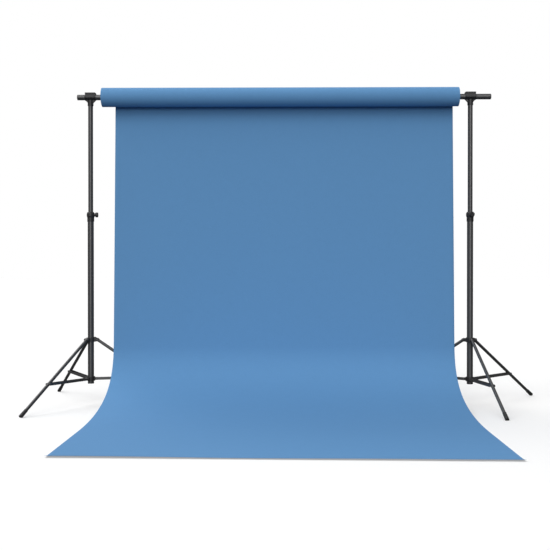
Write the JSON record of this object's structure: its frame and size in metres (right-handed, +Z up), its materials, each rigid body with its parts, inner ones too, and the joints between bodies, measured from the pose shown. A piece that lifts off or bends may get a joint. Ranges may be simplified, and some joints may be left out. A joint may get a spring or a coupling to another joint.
{
  "type": "backdrop paper roll",
  "caption": "Roll of plain background paper on a crossbar between folding tripod stands; the paper hangs from the back of the roll and sweeps forward over the floor.",
  "frame": {"origin": "on the floor, under the middle of the whole object's box", "axes": "+X along the crossbar to the sitter's left, -Y the way the paper runs out over the floor, +Z up"},
  "size_m": [2.0369, 1.3747, 1.2527],
  "materials": {
    "blue_paper": "matt, lightly toothed",
    "cardboard": "spiral wound, bare",
    "plug_plastic": "moulded",
    "black_tube": "black powder coat, satin",
    "black_plastic": "moulded, fine spark texture",
    "knob_plastic": "moulded",
    "cap_plastic": "smooth",
    "rivet_steel": "blackened steel",
    "foot_rubber": "matt"
  },
  "bodies": {
    "left_column": {"left_lower_tube": "black_tube", "left_tube_end_cap": "cap_plastic", "left_base_hub": "black_plastic", "left_hub_rivets": "rivet_steel", "left_column_clamp": "black_plastic", "paper_sweep": "blue_paper"},
    "left_clamp_knob": {"left_clamp_knob": "knob_plastic"},
    "left_leg_collar": {"left_leg_collar": "black_plastic", "left_collar_rivets": "rivet_steel"},
    "left_collar_knob": {"left_collar_knob": "knob_plastic"},
    "left_leg_inner": {"left_leg_inner": "black_tube", "left_foot_inner": "foot_rubber"},
    "left_brace_inner": {"left_brace_inner": "black_tube"},
    "left_leg_rear": {"left_leg_rear": "black_tube", "left_foot_rear": "foot_rubber"},
    "left_brace_rear": {"left_brace_rear": "black_tube"},
    "left_leg_front": {"left_leg_front": "black_tube", "left_foot_front": "foot_rubber"},
    "left_brace_front": {"left_brace_front": "black_tube"},
    "upper_frame": {"crossbar": "black_tube", "crossbar_end_caps": "cap_plastic", "paper_hanging": "blue_paper", "left_upper_tube": "black_tube", "left_tube_glide": "cap_plastic", "left_bar_cradle": "black_plastic", "left_cradle_cap": "black_plastic", "left_cradle_screws": "rivet_steel", "right_upper_tube": "black_tube", "right_tube_glide": "cap_plastic", "right_bar_cradle": "black_plastic", "right_cradle_cap": "black_plastic", "right_cradle_screws": "rivet_steel"},
    "right_column": {"right_lower_tube": "black_tube", "right_tube_end_cap": "cap_plastic", "right_base_hub": "black_plastic", "right_hub_rivets": "rivet_steel", "right_column_clamp": "black_plastic"},
    "right_clamp_knob": {"right_clamp_knob": "knob_plastic"},
    "right_leg_collar": {"right_leg_collar": "black_plastic", "right_collar_rivets": "rivet_steel"},
    "right_collar_knob": {"right_collar_knob": "knob_plastic"},
    "right_leg_front": {"right_leg_front": "black_tube", "right_foot_front": "foot_rubber"},
    "right_brace_front": {"right_brace_front": "black_tube"},
    "right_leg_rear": {"right_leg_rear": "black_tube", "right_foot_rear": "foot_rubber"},
    "right_brace_rear": {"right_brace_rear": "black_tube"},
    "right_leg_inner": {"right_leg_inner": "black_tube", "right_foot_inner": "foot_rubber"},
    "right_brace_inner": {"right_brace_inner": "black_tube"},
    "roll": {"roll_core": "cardboard", "wound_paper": "blue_paper", "core_plugs": "plug_plastic"},
    "paper_floor": {"paper_floor": "blue_paper"}
  },
  "joints": [
    {"name": "left_stand_fold", "type": "slide", "parent": "left_column", "child": "left_leg_collar", "axis": [0, 0, 1], "range_m": [0, 0.32864]},
    {"name": "left_clamp_knob_turn", "type": "hinge", "parent": "left_column", "child": "left_clamp_knob", "pos_m": [-0.77993, 0.35675, 0.749], "axis": [-0.9986, -0.0523, 0], "range_deg": [-540, 0]},
    {"name": "left_collar_knob_turn", "type": "hinge", "parent": "left_leg_collar", "child": "left_collar_knob", "pos_m": [-0.79082, 0.37352, 0.253], "axis": [-0.454, -0.891, 0], "range_deg": [-540, 0]},
    {"name": "left_leg_inner_hinge", "type": "hinge", "parent": "left_leg_collar", "child": "left_leg_inner", "pos_m": [-0.77394, 0.35706, 0.253], "axis": [-0.0523, 0.9986, 0], "range_deg": [-0.01, 55.51]},
    {"name": "left_brace_inner_hinge", "type": "hinge", "parent": "left_column", "child": "left_brace_inner", "pos_m": [-0.77493, 0.35701, 0.0985], "axis": [-0.0523, 0.9986, 0], "range_deg": [-88.49, 0.01]},
    {"name": "left_leg_rear_hinge", "type": "hinge", "parent": "left_leg_collar", "child": "left_leg_rear", "pos_m": [-0.81406, 0.3775, 0.253], "axis": [-0.8387, -0.5446, 0], "range_deg": [-0.01, 55.51]},
    {"name": "left_brace_rear_hinge", "type": "hinge", "parent": "left_column", "child": "left_brace_rear", "pos_m": [-0.81352, 0.37667, 0.0985], "axis": [-0.8387, -0.5446, 0], "range_deg": [-88.49, 0.01]},
    {"name": "left_leg_front_hinge", "type": "hinge", "parent": "left_leg_collar", "child": "left_leg_front", "pos_m": [-0.8117, 0.33253, 0.253], "axis": [0.891, -0.454, 0], "range_deg": [-0.01, 55.51]},
    {"name": "left_brace_front_hinge", "type": "hinge", "parent": "left_column", "child": "left_brace_front", "pos_m": [-0.81125, 0.33343, 0.0985], "axis": [0.891, -0.454, 0], "range_deg": [-88.49, 0.01]},
    {"name": "height", "type": "slide", "parent": "left_column", "child": "upper_frame", "axis": [0, 0, 1], "range_m": [-0.4, 0.12], "deforming": ["paper_hanging"]},
    {"name": "right_column_slide", "type": "slide", "parent": "upper_frame", "child": "right_column", "axis": [0, 0, -1], "range_m": [-0.4001, 0.1201]},
    {"name": "right_stand_fold", "type": "slide", "parent": "right_column", "child": "right_leg_collar", "axis": [0, 0, 1], "range_m": [0, 0.32864]},
    {"name": "right_clamp_knob_turn", "type": "hinge", "parent": "right_column", "child": "right_clamp_knob", "pos_m": [0.70671, 0.33587, 0.749], "axis": [-0.1305, 0.9914, 0], "range_deg": [-540, 0]},
    {"name": "right_collar_knob_turn", "type": "hinge", "parent": "right_leg_collar", "child": "right_collar_knob", "pos_m": [0.70149, 0.37553, 0.253], "axis": [0.1305, -0.9914, 0], "range_deg": [-540, 0]},
    {"name": "right_leg_front_hinge", "type": "hinge", "parent": "right_leg_collar", "child": "right_leg_front", "pos_m": [0.70749, 0.32992, 0.253], "axis": [0.9914, 0.1305, 0], "range_deg": [-0.01, 55.51]},
    {"name": "right_brace_front_hinge", "type": "hinge", "parent": "right_column", "child": "right_brace_front", "pos_m": [0.70736, 0.33091, 0.0985], "axis": [0.9914, 0.1305, 0], "range_deg": [-88.49, 0.01]},
    {"name": "right_leg_rear_hinge", "type": "hinge", "parent": "right_leg_collar", "child": "right_leg_rear", "pos_m": [0.72473, 0.37153, 0.253], "axis": [-0.6088, 0.7934, 0], "range_deg": [-0.01, 55.51]},
    {"name": "right_brace_rear_hinge", "type": "hinge", "parent": "right_column", "child": "right_brace_rear", "pos_m": [0.72393, 0.37092, 0.0985], "axis": [-0.6088, 0.7934, 0], "range_deg": [-88.49, 0.01]},
    {"name": "right_leg_inner_hinge", "type": "hinge", "parent": "right_leg_collar", "child": "right_leg_inner", "pos_m": [0.68008, 0.36565, 0.253], "axis": [-0.3827, -0.9239, 0], "range_deg": [-0.01, 55.51]},
    {"name": "right_brace_inner_hinge", "type": "hinge", "parent": "right_column", "child": "right_brace_inner", "pos_m": [0.681, 0.36527, 0.0985], "axis": [-0.3827, -0.9239, 0], "range_deg": [-88.49, 0.01]},
    {"name": "roll_turn", "type": "hinge", "parent": "upper_frame", "child": "roll", "pos_m": [-0.0479, 0.3557, 1.215], "axis": [-1, 0, 0], "range_deg": [-455, 911]},
    {"name": "paper_feed", "type": "slide", "parent": "left_column", "child": "paper_floor", "axis": [0, -1, 0], "range_m": [-0.301, 0.601], "deforming": ["paper_floor"]}
  ],
  "couplings": [
    {"joint": "left_leg_inner_hinge", "follows": "left_stand_fold", "rad_per_m": 2.9474},
    {"joint": "left_brace_inner_hinge", "follows": "left_stand_fold", "rad_per_m": -4.699},
    {"joint": "left_leg_rear_hinge", "follows": "left_stand_fold", "rad_per_m": 2.9474},
    {"joint": "left_brace_rear_hinge", "follows": "left_stand_fold", "rad_per_m": -4.699},
    {"joint": "left_leg_front_hinge", "follows": "left_stand_fold", "rad_per_m": 2.9474},
    {"joint": "left_brace_front_hinge", "follows": "left_stand_fold", "rad_per_m": -4.699},
    {"joint": "right_leg_front_hinge", "follows": "right_stand_fold", "rad_per_m": 2.9474},
    {"joint": "right_brace_front_hinge", "follows": "right_stand_fold", "rad_per_m": -4.699},
    {"joint": "right_leg_rear_hinge", "follows": "right_stand_fold", "rad_per_m": 2.9474},
    {"joint": "right_brace_rear_hinge", "follows": "right_stand_fold", "rad_per_m": -4.699},
    {"joint": "right_leg_inner_hinge", "follows": "right_stand_fold", "rad_per_m": 2.9474},
    {"joint": "right_brace_inner_hinge", "follows": "right_stand_fold", "rad_per_m": -4.699},
    {"joint": "right_column_slide", "follows": "height", "ratio": 1},
    {"joint": "paper_feed", "follows": "roll_turn", "m_per_rad": 0.0377}
  ]
}
